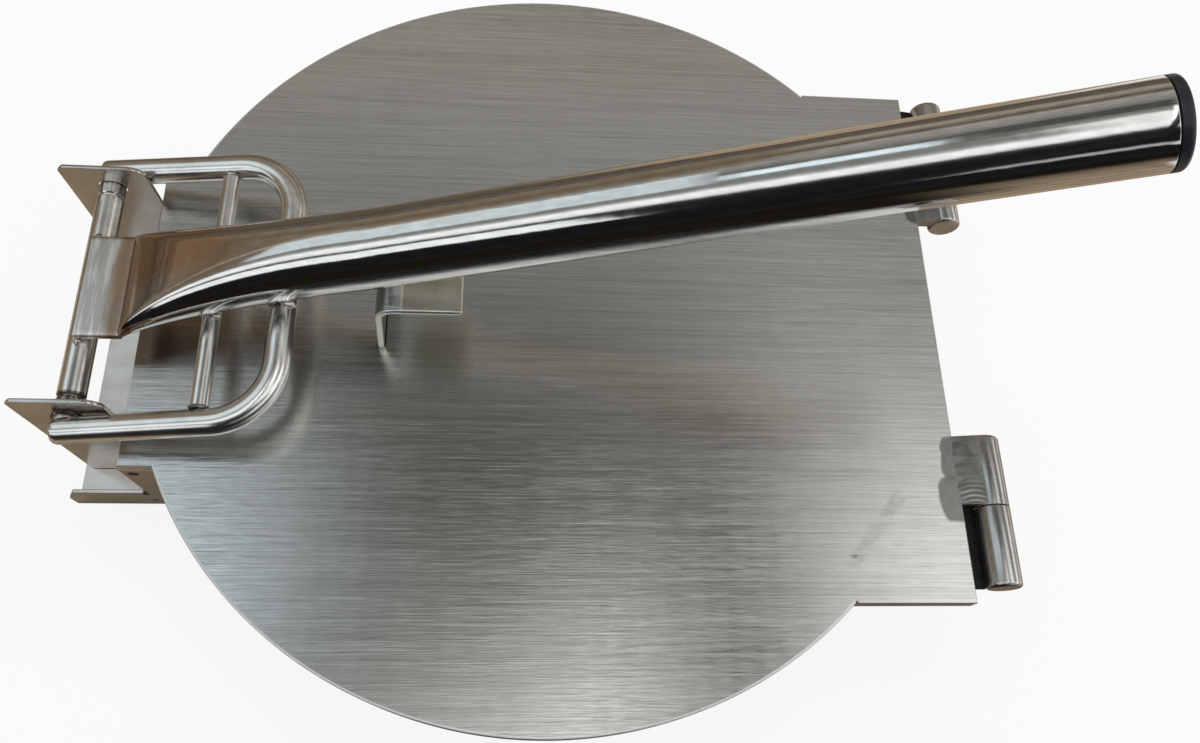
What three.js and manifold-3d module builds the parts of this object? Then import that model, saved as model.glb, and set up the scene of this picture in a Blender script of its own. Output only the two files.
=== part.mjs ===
// Tortilla press in stainless steel: two hinged plates on a bent sheet channel, pressed by a tube lever.
// Units are millimetres and +Z is up. X runs from the lever's pivot to the plate hinges, Y along both axes.
// The origin is on the channel's underside, below the centre of the round plates.
import * as THREE from 'three';
import Module from 'manifold-3d';
import { mergeVertices } from 'three/addons/utils/BufferGeometryUtils.js';

const wasm = await Module();
wasm.setup();

// Driving dimensions
const seatGap = 0.3;          // between pieces that are welded or rest on each other

const discRadius = 152.4;
const plateThickness = 3.2;
const hingeTabInset = 1.1;    // from the round's outermost line to the straight edge that carries the hinges
const hingeTabHalf = 108.8;
const leverTabInset = 1.1;
const leverTabHalf = 61.5;

const sheet = 1.5;            // channel wall
const channelHeight = 50;
const channelWidth = 122;
const channelBend = 3;        // outer bend radius
const channelAhead = 33.7;    // channel beyond the plates' straight edge at the lever
const lowWallHeight = 18.5;   // side walls beside the cheeks, ahead of the plates
const lowWallGap = 1.8;       // from the plates' edge to where the walls drop
const lowWallCutHeight = 8;   // sloping cut at each low wall's front corner
const lowWallCutLength = 4;

const cheekSheet = 1.5;
const cheekInner = 44.8;      // from the middle plane to a cheek's inner face
const cheekLength = 30.7;
const cheekToPlate = 0.5;
const cheekTop = 78.3;
const cheekCorner = 6;
const cheekChamfer = 2;

const rodDiameter = 9.5;      // shaft and bail
const shaftBack = 15.3;       // shaft axis ahead of the plates' edge
const shaftAbovePlate = 8.4;
const shaftClearance = 0.3;

const armClear = 0.55;        // between a cheek's outer face and the arm beside it
const armDrawIn = 0.9;        // how much nearer each arm lies at the bail's bend
const armTail = 4;            // arm beyond the shaft axis
const bailReach = 71.8;       // shaft axis to the bail's cross part
const bailBend = 21.5;
const crossbarReach = 46.6;
const crossbarDiameter = 6.4;

const handleDiameter = 26.7;
const handleWall = 1.5;
const handleRise = 20.35;     // degrees above the plates
const handleLength = 333.9;   // from the bend to the open end
const bendReach = 15.4;       // shaft axis to the handle's bend
const tipLength = 15.8;
const tipThickness = 3.2;
const roundLength = 97;       // from the bend to where the tube is round
const flattening = 2.4;       // exponent of the change from flat to round
const swellLift = 3;          // most that the section's middle stands above the axis on that length
const tipBend = 5;            // centre line radius of the bend

const capThickness = 4.8;
const capDome = 1.2;
const plugLength = 16;
const plugClearance = 0.3;
const plugWall = 2.2;

const bracketSheet = 2.4;
const bracketHalf = 15.2;
const bracketReach = 65;      // disc's centre to the leg's far face
const bracketLength = 32.4;   // leg's far face at its foot to the flange's end
const bracketBend = 5;        // outer radius
const bracketLean = 1.8;      // how far the leg's top leans the way the flange points
const handleToBracket = 3.3;

const barrelDiameter = 13;
const topBarrelLength = 27;
const frontBaseBarrelLength = 29.5;
const backBaseBarrelLength = 32.5;
const barrelSplit = 0.4;
const hingeCentre = 73.5;     // middle plane to the split between a hinge's two barrels
const hingeBack = 12.4;       // hinge axis behind the plates' edge
const hingeBelowTop = 3.3;    // hinge axis below the top plate's upper face
const pinDiameter = 7;
const pinDepth = 21;
const pinClearance = 0.35;
const pinEndGap = 0.4;
const beadHeight = 1.6;       // weld bead above the plate it joins

// Heights and places that follow from the sizes above
const hingeTabReach = discRadius - hingeTabInset;
const leverTabReach = discRadius - leverTabInset;
const channelFrontReach = leverTabReach + channelAhead;
const bottomPlateZ = channelHeight + seatGap;
const topPlateZ = bottomPlateZ + plateThickness + seatGap;
const plateTop = topPlateZ + plateThickness;
const rodRadius = rodDiameter / 2;
const shaftX = -leverTabReach - shaftBack;
const shaftZ = plateTop + shaftAbovePlate;
const cheekOuter = cheekInner + cheekSheet;
const cheekRear = -leverTabReach - cheekToPlate;
const armY = cheekOuter + armClear + rodRadius;
const barrelX = hingeTabReach + hingeBack;
const barrelZ = plateTop - hingeBelowTop;

// Finishes
const steel = (name, color, roughness) => {
  const material = new THREE.MeshStandardMaterial({ color, roughness, metalness: 1 });
  material.name = name;
  return material;
};
const finishes = {
  brushed: () => steel('brushed_plate', 0x9b9a94, 0.42),
  sheet: () => steel('polished_sheet', 0xa8a29c, 0.25),
  rod: () => steel('satin_rod', 0xa5a19b, 0.32),
  barrel: () => steel('turned_barrel', 0x9a9792, 0.36),
  mirror: () => steel('mirror_tube', 0xb9b6b1, 0.08),
  plastic: () => {
    const material = new THREE.MeshStandardMaterial({ color: 0x1c1e26, roughness: 0.45, metalness: 0 });
    material.name = 'black_plastic';
    return material;
  },
};

const press = new THREE.Group();
function addPiece(name, geometry, finish) {
  const mesh = new THREE.Mesh(geometry, finish());
  mesh.name = name;
  press.add(mesh);
  return mesh;
}

// Booleans on closed geometries
function toSolid(geometry) {
  const bare = geometry.clone();
  bare.deleteAttribute('normal');
  bare.deleteAttribute('uv');
  const merged = mergeVertices(bare, 1e-4);
  return new wasm.Manifold(new wasm.Mesh({
    numProp: 3,
    vertProperties: new Float32Array(merged.attributes.position.array),
    triVerts: new Uint32Array(merged.index.array),
  }));
}
function toGeometry(solid) {
  const mesh = solid.getMesh();
  const geometry = new THREE.BufferGeometry();
  geometry.setAttribute('position', new THREE.BufferAttribute(new Float32Array(mesh.vertProperties), 3));
  geometry.setIndex(new THREE.BufferAttribute(new Uint32Array(mesh.triVerts), 1));
  geometry.computeVertexNormals();
  return geometry;
}
const cut = (body, ...tools) => toGeometry(tools.reduce((s, t) => s.subtract(toSolid(t)), toSolid(body)));
const join = (body, ...others) => toGeometry(others.reduce((s, o) => s.add(toSolid(o)), toSolid(body)));

// A round bar along Y, from y0 to y1
function barAlongY(radius, x, z, y0, y1, sides = 32) {
  const bar = new THREE.CylinderGeometry(radius, radius, y1 - y0, sides);
  bar.translate(x, (y0 + y1) / 2, z);
  return bar;
}
// An outline in the XZ plane, carried along Y from y0 to y1
function slabAlongY(outline, y0, y1, curveSegments = 10) {
  const slab = new THREE.ExtrudeGeometry(outline, { depth: y1 - y0, bevelEnabled: false, curveSegments });
  slab.rotateX(Math.PI / 2);
  slab.translate(0, y1, 0);
  return slab;
}

// Round plate with a wide tab at the hinges and a narrow one at the lever
function plateOutline() {
  const hingeCorner = Math.asin(hingeTabHalf / discRadius);
  const leverCorner = Math.PI - Math.asin(leverTabHalf / discRadius);
  const outline = new THREE.Shape();
  outline.moveTo(hingeTabReach, -hingeTabHalf);
  outline.lineTo(hingeTabReach, hingeTabHalf);
  outline.lineTo(discRadius * Math.cos(hingeCorner), hingeTabHalf);
  outline.absarc(0, 0, discRadius, hingeCorner, leverCorner, false);
  outline.lineTo(-leverTabReach, leverTabHalf);
  outline.lineTo(-leverTabReach, -leverTabHalf);
  outline.lineTo(discRadius * Math.cos(leverCorner), -leverTabHalf);
  outline.absarc(0, 0, discRadius, -leverCorner, -hingeCorner, false);
  return outline;
}
function plate(z) {
  const body = new THREE.ExtrudeGeometry(plateOutline(), {
    depth: plateThickness, bevelEnabled: false, curveSegments: 44,
  });
  body.translate(0, 0, z);
  return body;
}
addPiece('bottom_plate', plate(bottomPlateZ), finishes.brushed);
addPiece('top_plate', plate(topPlateZ), finishes.brushed);

// Channel: one sheet bent up along both sides, its walls cut low ahead of the plates
function channel() {
  const half = channelWidth / 2;
  const inner = half - sheet;
  const innerBend = channelBend - sheet;
  const section = new THREE.Shape();
  section.moveTo(-half, channelHeight);
  section.lineTo(-half, channelBend);
  section.absarc(-half + channelBend, channelBend, channelBend, Math.PI, 1.5 * Math.PI, false);
  section.lineTo(half - channelBend, 0);
  section.absarc(half - channelBend, channelBend, channelBend, 1.5 * Math.PI, 2 * Math.PI, false);
  section.lineTo(half, channelHeight);
  section.lineTo(inner, channelHeight);
  section.lineTo(inner, channelBend);
  section.absarc(half - channelBend, channelBend, innerBend, 0, -0.5 * Math.PI, true);
  section.lineTo(-half + channelBend, sheet);
  section.absarc(-half + channelBend, channelBend, innerBend, -0.5 * Math.PI, -Math.PI, true);
  section.lineTo(-inner, channelHeight);
  const body = new THREE.ExtrudeGeometry(section, {
    depth: channelFrontReach + hingeTabReach, bevelEnabled: false, curveSegments: 5,
  });
  body.rotateX(Math.PI / 2);
  body.rotateZ(Math.PI / 2);
  body.translate(-channelFrontReach, 0, 0);
  const beyond = 5;
  const drop = new THREE.Shape();
  drop.moveTo(-channelFrontReach - beyond, lowWallHeight - lowWallCutHeight);
  drop.lineTo(-channelFrontReach, lowWallHeight - lowWallCutHeight);
  drop.lineTo(-channelFrontReach + lowWallCutLength, lowWallHeight);
  drop.lineTo(-leverTabReach - lowWallGap, lowWallHeight);
  drop.lineTo(-leverTabReach - lowWallGap, channelHeight + beyond);
  drop.lineTo(-channelFrontReach - beyond, channelHeight + beyond);
  return cut(body, slabAlongY(drop, -half - beyond, half + beyond));
}
addPiece('base_channel', channel(), finishes.sheet);

// Cheeks: two upright sheets on the channel's floor, drilled for the shaft
function cheekOutline() {
  const ahead = cheekRear - cheekLength;
  const foot = sheet + seatGap;
  const outline = new THREE.Shape();
  outline.moveTo(ahead, foot);
  outline.lineTo(cheekRear, foot);
  outline.lineTo(cheekRear, cheekTop - cheekCorner);
  outline.absarc(cheekRear - cheekCorner, cheekTop - cheekCorner, cheekCorner, 0, Math.PI / 2, false);
  outline.lineTo(ahead + cheekChamfer, cheekTop);
  outline.lineTo(ahead, cheekTop - cheekChamfer);
  const hole = new THREE.Path();
  hole.absarc(shaftX, shaftZ, rodRadius + shaftClearance, 0, 2 * Math.PI, true);
  outline.holes.push(hole);
  return outline;
}
for (const [name, side] of [['cheek_front', -1], ['cheek_back', 1]]) {
  const faces = [side * cheekInner, side * cheekOuter].sort((a, b) => a - b);
  addPiece(name, slabAlongY(cheekOutline(), ...faces, 16), finishes.sheet);
}

// Handle: a round tube flattened at the pivot end, where it bends level and lies on the shaft.
// Its centre line runs level over the tip, round the bend and up at the rise angle.
const rise = THREE.MathUtils.degToRad(handleRise);
const tipZ = shaftZ + rodRadius + seatGap + tipThickness / 2;
const bendX = shaftX + bendReach;
const bendTangent = tipBend * Math.tan(rise / 2);
function handlePoint(s) {
  if (s <= -bendTangent) return { x: bendX + s, z: tipZ, angle: 0 };
  if (s >= bendTangent) return { x: bendX + s * Math.cos(rise), z: tipZ + s * Math.sin(rise), angle: rise };
  const angle = rise * (s + bendTangent) / (2 * bendTangent);
  return {
    x: bendX - bendTangent + tipBend * Math.sin(angle),
    z: tipZ + tipBend * (1 - Math.cos(angle)),
    angle,
  };
}
// Height of the section: flat to the bend, then rising to the full diameter
function handleHeight(s) {
  const along = THREE.MathUtils.clamp(s / roundLength, 0, 1);
  return tipThickness + (handleDiameter - tipThickness) * (1 - (1 - along) ** flattening);
}
// The section's middle stands a little above the axis while the tube rounds out
function handleLift(s) {
  const along = THREE.MathUtils.clamp(s / roundLength, 0, 1);
  return swellLift * Math.sin(Math.PI * Math.sqrt(along));
}
// Section with flat faces and round sides, as wide as the tube's girth allows, inset for the bore
const sectionSides = 28;
function handleRing(s, inset) {
  const { x, z, angle } = handlePoint(s);
  const height = handleHeight(s);
  const flat = Math.PI * (handleDiameter - height) / 4;
  const radius = height / 2 - inset;
  const ring = [];
  for (let i = 0; i < sectionSides; i += 1) {
    const turn = 2 * Math.PI * (i + 0.5) / sectionSides;
    const across = Math.cos(turn) * radius + Math.sign(Math.cos(turn)) * flat;
    const up = Math.sin(turn) * radius + handleLift(s);
    ring.push([x - up * Math.sin(angle), across, z + up * Math.cos(angle)]);
  }
  return ring;
}
// A skin over rings of equal count, closed by a fan at both ends
function loft(rings) {
  const count = rings[0].length;
  const points = rings.flat();
  const middle = (ring) => [0, 1, 2].map((axis) => ring.reduce((sum, p) => sum + p[axis], 0) / count);
  const first = points.push(middle(rings[0])) - 1;
  const last = points.push(middle(rings.at(-1))) - 1;
  const index = [];
  for (let i = 0; i < count; i += 1) {
    const j = (i + 1) % count;
    index.push(first, j, i);
    for (let r = 0; r + 1 < rings.length; r += 1) {
      const a = r * count;
      const b = a + count;
      index.push(a + i, a + j, b + j, a + i, b + j, b + i);
    }
    const end = (rings.length - 1) * count;
    index.push(last, end + i, end + j);
  }
  const geometry = new THREE.BufferGeometry();
  geometry.setAttribute('position', new THREE.Float32BufferAttribute(points.flat(), 3));
  geometry.setIndex(index);
  geometry.computeVertexNormals();
  return geometry;
}
function handleTube() {
  const level = [-tipLength, -bendTangent, 0, bendTangent];
  const steps = 16;
  const swelling = Array.from({ length: steps }, (_, i) => {
    const share = (i + 1) / steps;
    return bendTangent + (roundLength - bendTangent) * share;
  });
  const outer = [...level, ...swelling, handleLength];
  const boreEnd = swelling[1];
  const inner = outer.filter((s) => s >= boreEnd).reverse();
  return loft([
    ...outer.map((s) => handleRing(s, 0)),
    ...inner.map((s) => handleRing(s, handleWall)),
  ]);
}
addPiece('handle_tube', handleTube(), finishes.mirror);

// Cap: a plastic plug pushed into the tube's end, with a domed rim as wide as the tube
function endCap() {
  const rim = handleDiameter / 2;
  const plug = rim - handleWall - plugClearance;
  const rimStart = handleLength + seatGap;
  const profile = [
    [plug - plugWall, handleLength - plugLength],
    [plug, handleLength - plugLength],
    [plug, rimStart],
    [rim, rimStart],
    [rim, rimStart + capThickness - 2 * capDome],
    [rim - capDome, rimStart + capThickness - capDome],
    [rim * 0.5, rimStart + capThickness - capDome * 0.25],
    [0, rimStart + capThickness],
    [0, rimStart],
    [plug - plugWall, rimStart],
    [plug - plugWall, handleLength - plugLength],
  ].map(([radius, along]) => new THREE.Vector2(radius, along));
  const cap = new THREE.LatheGeometry(profile, 32);
  cap.rotateX(Math.PI / 2);
  cap.rotateY(Math.PI / 2 - rise);
  cap.translate(bendX, 0, tipZ);
  return cap;
}
addPiece('end_cap', endCap(), finishes.plastic);

// Shaft: turns in both cheeks and carries the bail's arms at its ends
const shaftHalf = armY - rodRadius - seatGap;
addPiece('pivot_shaft', barAlongY(rodRadius, shaftX, shaftZ, -shaftHalf, shaftHalf), finishes.rod);

// Underside of the handle in its middle plane
const underside = Array.from({ length: 400 }, (_, i) => {
  const s = -tipLength + (handleLength + tipLength) * i / 399;
  const { x, z, angle } = handlePoint(s);
  const down = handleHeight(s) / 2 - handleLift(s);
  return new THREE.Vector2(x + down * Math.sin(angle), z - down * Math.cos(angle));
});
// Angle of a rod about the shaft at which it lies just under the handle
function seatAngle(reach, radius) {
  const clear = (angle) => {
    const centre = new THREE.Vector2(shaftX + reach * Math.cos(angle), shaftZ + reach * Math.sin(angle));
    const nearest = Math.min(...underside.map((point) => point.distanceTo(centre)));
    const level = underside.find((point) => point.x >= centre.x);
    return centre.y < level.y && nearest >= radius + seatGap;
  };
  let low = -0.2;
  let high = 0.6;
  for (let i = 0; i < 40; i += 1) {
    const middle = (low + high) / 2;
    if (clear(middle)) low = middle;
    else high = middle;
  }
  return low;
}

// Bail: one rod bent round two corners, its arms outside the cheeks and its cross part under the handle
const bailAngle = seatAngle(bailReach, rodRadius);
function bailPoint(u, y) {
  return new THREE.Vector3(shaftX + u * Math.cos(bailAngle), y, shaftZ + u * Math.sin(bailAngle));
}
function bail() {
  const drawIn = Math.atan2(armDrawIn, bailReach - bailBend);
  const bendY = armY - armDrawIn;
  const turn = Math.PI / 2 - drawIn;
  const centreU = bailReach - bailBend;
  const centreY = bendY - bailBend;
  const startU = centreU + bailBend * Math.sin(drawIn);
  const startY = centreY + bailBend * Math.cos(drawIn);
  const tailY = startY + (startU + armTail) * Math.tan(drawIn);
  class BailLine extends THREE.Curve {
    getPoint(t, target = new THREE.Vector3()) {
      const arm = Math.hypot(startU + armTail, tailY - startY);
      const arc = turn * bailBend;
      const total = 2 * (arm + arc + centreY);
      const side = t < 0.5 ? 1 : -1;
      const run = Math.min(t, 1 - t) * total;
      let u = bailReach;
      let y = centreY - (run - arm - arc);
      if (run < arm) {
        u = -armTail + (startU + armTail) * run / arm;
        y = tailY + (startY - tailY) * run / arm;
      } else if (run < arm + arc) {
        const angle = drawIn + (run - arm) / bailBend;
        u = centreU + bailBend * Math.sin(angle);
        y = centreY + bailBend * Math.cos(angle);
      }
      return target.copy(bailPoint(u, side * y));
    }
  }
  const section = new THREE.Shape();
  section.absarc(0, 0, rodRadius, 0, 2 * Math.PI, false);
  return new THREE.ExtrudeGeometry(section, {
    extrudePath: new BailLine(), steps: 60, curveSegments: 14, bevelEnabled: false,
  });
}
addPiece('bail', bail(), finishes.rod);

// Crossbar: a thinner rod between the arms, also under the handle
const crossbarRadius = crossbarDiameter / 2;
const crossbarAngle = seatAngle(crossbarReach, crossbarRadius);
const armInnerAtCrossbar = armY - rodRadius - armDrawIn * crossbarReach / (bailReach - bailBend);
addPiece('crossbar', barAlongY(
  crossbarRadius,
  shaftX + crossbarReach * Math.cos(crossbarAngle),
  shaftZ + crossbarReach * Math.sin(crossbarAngle),
  seatGap - armInnerAtCrossbar,
  armInnerAtCrossbar - seatGap,
  20,
), finishes.rod);

// Bracket: a bent strip on the top plate, for the handle to press on and the fingers to lift by
function bracket() {
  const legX = -bracketReach;
  const bendStartX = legX + bracketLean + bracketBend;
  const handleZ = underside.find((point) => point.x >= bendStartX).y;
  const top = handleZ - handleToBracket;
  const foot = plateTop + seatGap;
  const innerBend = bracketBend - bracketSheet;
  const outline = new THREE.Shape();
  outline.moveTo(legX, foot);
  outline.lineTo(legX + bracketSheet, foot);
  outline.lineTo(legX + bracketLean + bracketSheet, top - bracketBend);
  outline.absarc(bendStartX, top - bracketBend, innerBend, Math.PI, Math.PI / 2, true);
  outline.lineTo(legX + bracketLength, top - bracketSheet);
  outline.lineTo(legX + bracketLength, top);
  outline.lineTo(bendStartX, top);
  outline.absarc(bendStartX, top - bracketBend, bracketBend, Math.PI / 2, Math.PI, false);
  return slabAlongY(outline, -bracketHalf, bracketHalf, 8);
}
addPiece('bracket', bracket(), finishes.sheet);

// Hinges: a barrel on each plate with a weld bead to the plate's edge, and a pin in their blind bores
function barrel(side, length, onTopPlate) {
  const split = side * hingeCentre;
  const inward = onTopPlate ? -side : side;
  const near = split + inward * barrelSplit / 2;
  const far = near + inward * length;
  const [y0, y1] = [near, far].sort((a, b) => a - b);
  const radius = barrelDiameter / 2;
  const plateZ = onTopPlate ? topPlateZ : bottomPlateZ;
  const edge = hingeTabReach + seatGap;
  const bead = new THREE.Shape();
  bead.moveTo(edge, plateZ + seatGap);
  bead.lineTo(barrelX, onTopPlate ? barrelZ - 1 : plateZ + seatGap);
  bead.lineTo(barrelX, plateZ + plateThickness + (onTopPlate ? beadHeight : 0));
  bead.lineTo(edge + beadHeight, plateZ + plateThickness + (onTopPlate ? beadHeight : -seatGap));
  bead.lineTo(edge, plateZ + plateThickness - seatGap);
  const shell = join(barAlongY(radius, barrelX, barrelZ, y0, y1), slabAlongY(bead, y0, y1));
  const boreEnd = near + inward * pinDepth;
  const mouth = near - inward;
  const [bore0, bore1] = [mouth, boreEnd].sort((a, b) => a - b);
  const bore = barAlongY(pinDiameter / 2 + pinClearance, barrelX, barrelZ, bore0, bore1);
  return cut(shell, bore);
}
const hinges = [['front', -1, frontBaseBarrelLength], ['back', 1, backBaseBarrelLength]];
for (const [place, side, baseLength] of hinges) {
  addPiece(`top_barrel_${place}`, barrel(side, topBarrelLength, true), finishes.barrel);
  addPiece(`base_barrel_${place}`, barrel(side, baseLength, false), finishes.barrel);
  const middle = side * hingeCentre;
  const half = pinDepth + barrelSplit / 2 - pinEndGap;
  addPiece(
    `hinge_pin_${place}`,
    barAlongY(pinDiameter / 2, barrelX, barrelZ, middle - half, middle + half),
    finishes.rod,
  );
}

export default press;
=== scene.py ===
import math

import bmesh
import bpy
import numpy as np
from mathutils import Matrix, Vector


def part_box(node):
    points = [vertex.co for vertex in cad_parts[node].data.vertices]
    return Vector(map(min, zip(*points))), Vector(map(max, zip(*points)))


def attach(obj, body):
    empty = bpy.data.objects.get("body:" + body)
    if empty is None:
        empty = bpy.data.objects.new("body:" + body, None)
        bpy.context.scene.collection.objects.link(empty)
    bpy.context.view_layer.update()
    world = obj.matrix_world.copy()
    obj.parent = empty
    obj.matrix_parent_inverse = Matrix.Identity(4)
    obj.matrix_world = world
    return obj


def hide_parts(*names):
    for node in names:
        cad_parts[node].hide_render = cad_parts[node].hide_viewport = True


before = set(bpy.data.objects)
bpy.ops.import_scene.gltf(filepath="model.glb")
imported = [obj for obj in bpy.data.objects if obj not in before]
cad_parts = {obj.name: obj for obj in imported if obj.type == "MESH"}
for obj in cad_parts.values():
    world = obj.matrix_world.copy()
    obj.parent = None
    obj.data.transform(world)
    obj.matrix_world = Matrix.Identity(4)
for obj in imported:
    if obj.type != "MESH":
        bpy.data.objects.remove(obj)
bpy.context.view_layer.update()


# The stage: a table top under a soft room, both plain and pale where the camera sees them. Polished steel
# is mostly what it reflects, so to the object they are a grey room with lamps and windows, dark on the
# near side, and a brown wooden table.
class Shade:
    """A socket of a node tree. Arithmetic on it adds Math nodes, and make() adds a node of any other kind."""

    def __init__(self, tree, socket=None):
        self.tree = tree
        self.socket = socket

    def make(self, kind, settings=None, inputs=None, output=0):
        node = self.tree.nodes.new(kind)
        for key, value in (settings or {}).items():
            if key == "stops":
                points = node.color_ramp.elements
                while len(points) < len(value):
                    points.new(1.0)
                for point, (place, colour) in zip(points, value):
                    point.position = place
                    point.color = (*colour, 1.0) if np.ndim(colour) else (colour, colour, colour, 1.0)
            else:
                setattr(node, key, value)
        for key, value in (inputs or {}).items():
            if isinstance(value, Shade):
                self.tree.links.new(value.socket, node.inputs[key])
            else:
                node.inputs[key].default_value = value
        return Shade(self.tree, node.outputs[output] if node.outputs else None)

    def math(self, operation, *values):
        return self.make("ShaderNodeMath", {"operation": operation}, dict(enumerate(values)))

    def __add__(self, other):
        return self.math("ADD", self, other)

    def __sub__(self, other):
        return self.math("SUBTRACT", self, other)

    def __mul__(self, other):
        return self.math("MULTIPLY", self, other)

    def __truediv__(self, other):
        return self.math("DIVIDE", self, other)

    def __rsub__(self, other):
        return self.math("SUBTRACT", other, self)

    __radd__ = __add__
    __rmul__ = __mul__

    def step(self, low, high):
        """0 below low, 1 above high and a smooth change between them; falling when low is the larger."""
        if low > high:
            return 1 - self.step(high, low)
        smooth = {"interpolation_type": "SMOOTHSTEP"}
        return self.make("ShaderNodeMapRange", smooth, {0: self, 1: low, 2: high})

    def band(self, low, high, soft):
        """1 between low and high, falling to 0 over the distance soft outside them."""
        return self.step(low - soft, low) * self.step(high + soft, high)

    def mix(self, first, second):
        """A colour between first and second by this socket's value."""
        values = {0: self}
        for place, colour in ((6, first), (7, second)):
            values[place] = colour if isinstance(colour, Shade) else (*colour, 1.0)
        return self.make("ShaderNodeMix", {"data_type": "RGBA"}, values, output=2)

    def split(self):
        """The X, Y and Z of this socket's vector."""
        node = self.make("ShaderNodeSeparateXYZ", None, {0: self}).socket.node
        return [Shade(self.tree, node.outputs[i]) for i in range(3)]


world = bpy.data.worlds.new("soft_room")
bpy.context.scene.world = world
world.use_nodes = True
world.node_tree.nodes.clear()
room = Shade(world.node_tree)
# A direction's tilt is its angle in degrees from straight up toward the far side. Its places across and away
# are those where it meets a ceiling at a height of one.
ray_x, ray_y, ray_z = room.make("ShaderNodeTexCoord", output="Generated").split()
tilt = ray_y.math("ARCTAN2", ray_y, ray_z) * (180 / math.pi)
least_rise = 0.03
rise = ray_z.math("MAXIMUM", ray_z, least_rise)
across = ray_x / rise
away = ray_y / rise
tones = [
    (-105, (0.020, 0.019, 0.018)),
    (-78, (0.010, 0.010, 0.012)),
    (-44, (0.014, 0.015, 0.018)),
    (-37, (0.05, 0.05, 0.06)),
    (-31, (1.10, 1.15, 1.18)),
    (-21, (1.25, 1.30, 1.32)),
    (-14, (0.42, 0.44, 0.44)),
    (-8, (0.24, 0.25, 0.24)),
    (2, (0.27, 0.28, 0.26)),
    (8, (0.17, 0.17, 0.16)),
    (22, (0.15, 0.15, 0.135)),
    (33, (0.38, 0.39, 0.375)),
    (43, (0.52, 0.51, 0.475)),
    (52, (0.10, 0.078, 0.055)),
    (60, (0.26, 0.22, 0.17)),
    (66, (0.52, 0.46, 0.38)),
    (71, (0.30, 0.25, 0.19)),
    (78, (0.09, 0.065, 0.045)),
    (92, (0.045, 0.032, 0.024)),
    (115, (0.10, 0.075, 0.055)),
]
tilt_start, tilt_span = -110, 230
stops = [((place - tilt_start) / tilt_span, colour) for place, colour in tones]
room_colour = room.make("ShaderNodeValToRGB", {"stops": stops}, {0: (tilt - tilt_start) / tilt_span})
line_inputs = {"W": tilt * 0.42, "Scale": 1.0, "Detail": 3.0}
lines = room.make("ShaderNodeTexNoise", {"noise_dimensions": "1D"}, line_inputs)
near_gap_off = across.math("ABSOLUTE", across + 0.01 + away * 0.2)
# What hangs in the room, each laid over the ones before it: its mask, how strongly it covers, its colour
hangings = [
    (tilt.band(10, 92, 6) * lines.step(0.47, 0.40), 0.60, (0.055, 0.045, 0.035)),  # dark lines
    (tilt.band(12, 88, 6) * lines.step(0.52, 0.60), 0.55, (0.42, 0.385, 0.33)),  # light lines
    (away.band(-1.6, -0.95, 0.15) * across.band(-2.6, -0.85, 0.12), 1.0, (1.15, 1.22, 1.25)),  # second lamp
    (away.band(-3.1, -2.5, 0.3) * across.step(-0.2, 0.3), 0.6, (0.8, 0.8, 0.78)),  # thin lamp
    (away.band(-3.0, -1.3, 0.3) * across.step(0.8, 1.15), 0.8, (1.1, 1.1, 1.06)),  # low window at the right
    (away.band(0.12, 0.25, 0.09) * across.band(-0.45, -0.28, 0.06), 0.9, (1.15, 1.36, 1.50)),  # blue window
    (
        away.step(0.55, 0.08) * (across + away * 0.10).band(0.40, 0.75, 0.11) * away.step(-0.35, -0.15),
        1.0,
        (1.38, 1.37, 1.33),
    ),  # right window
    (away.band(0.27, 0.50, 0.06) * across.band(0.262, 0.345, 0.035), 0.62, (0.86, 0.87, 0.84)),  # pale patch
    (away.band(-0.30, 0.07, 0.17) * near_gap_off.step(0.19, 0.10), 1.0, (1.12, 1.12, 1.10)),  # near lamp
    (away.band(-0.30, 0.05, 0.16) * across.band(0.095, 0.134, 0.03), 1.0, (3.5, 3.5, 3.45)),  # its core
    (away.band(0.06, 0.40, 0.12) * across.band(-0.17, 0.05, 0.10), 0.75, (0.06, 0.06, 0.055)),  # dark gap
    (
        away.step(0.42, 0.24) * (across - away * 0.10).band(0.146, 0.280, 0.026),
        1.0,
        (0.02, 0.02, 0.018),
    ),  # gap between the near lamp and the right window
    (across.band(1.9, 3.4, 0.4) * away.band(-1.2, 1.0, 0.5), 1.0, (1.6, 1.6, 1.55)),  # far window
    (away.band(-0.15, 0.95, 0.15) * across.step(-1.20, -1.50), 0.8, (0.20, 0.15, 0.10)),  # low brown wall
    (away.band(0.95, 3.0, 0.20) * across.step(-0.30, -0.55), 0.8, (0.19, 0.145, 0.098)),  # brown wall
    (away.band(0.66, 0.74, 0.10) * across.step(-0.75, -1.0), 1.0, (0.42, 0.36, 0.28)),  # beige wall
    (away.band(0.02, 0.60, 0.09) * across.band(-1.30, -0.54, 0.06), 0.8, (0.90, 1.02, 1.08)),  # left window
]
for mask, strength, colour in hangings:
    room_colour = (mask * strength).mix(room_colour, colour)
room_to_camera = room.make("ShaderNodeLightPath", output="Is Camera Ray")
room_colour = room_to_camera.mix(room_colour, (0.96, 0.96, 0.96))
background = room.make("ShaderNodeBackground", None, {"Color": room_colour, "Strength": 1.0})
room.make("ShaderNodeOutputWorld", None, {"Surface": background})

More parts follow.
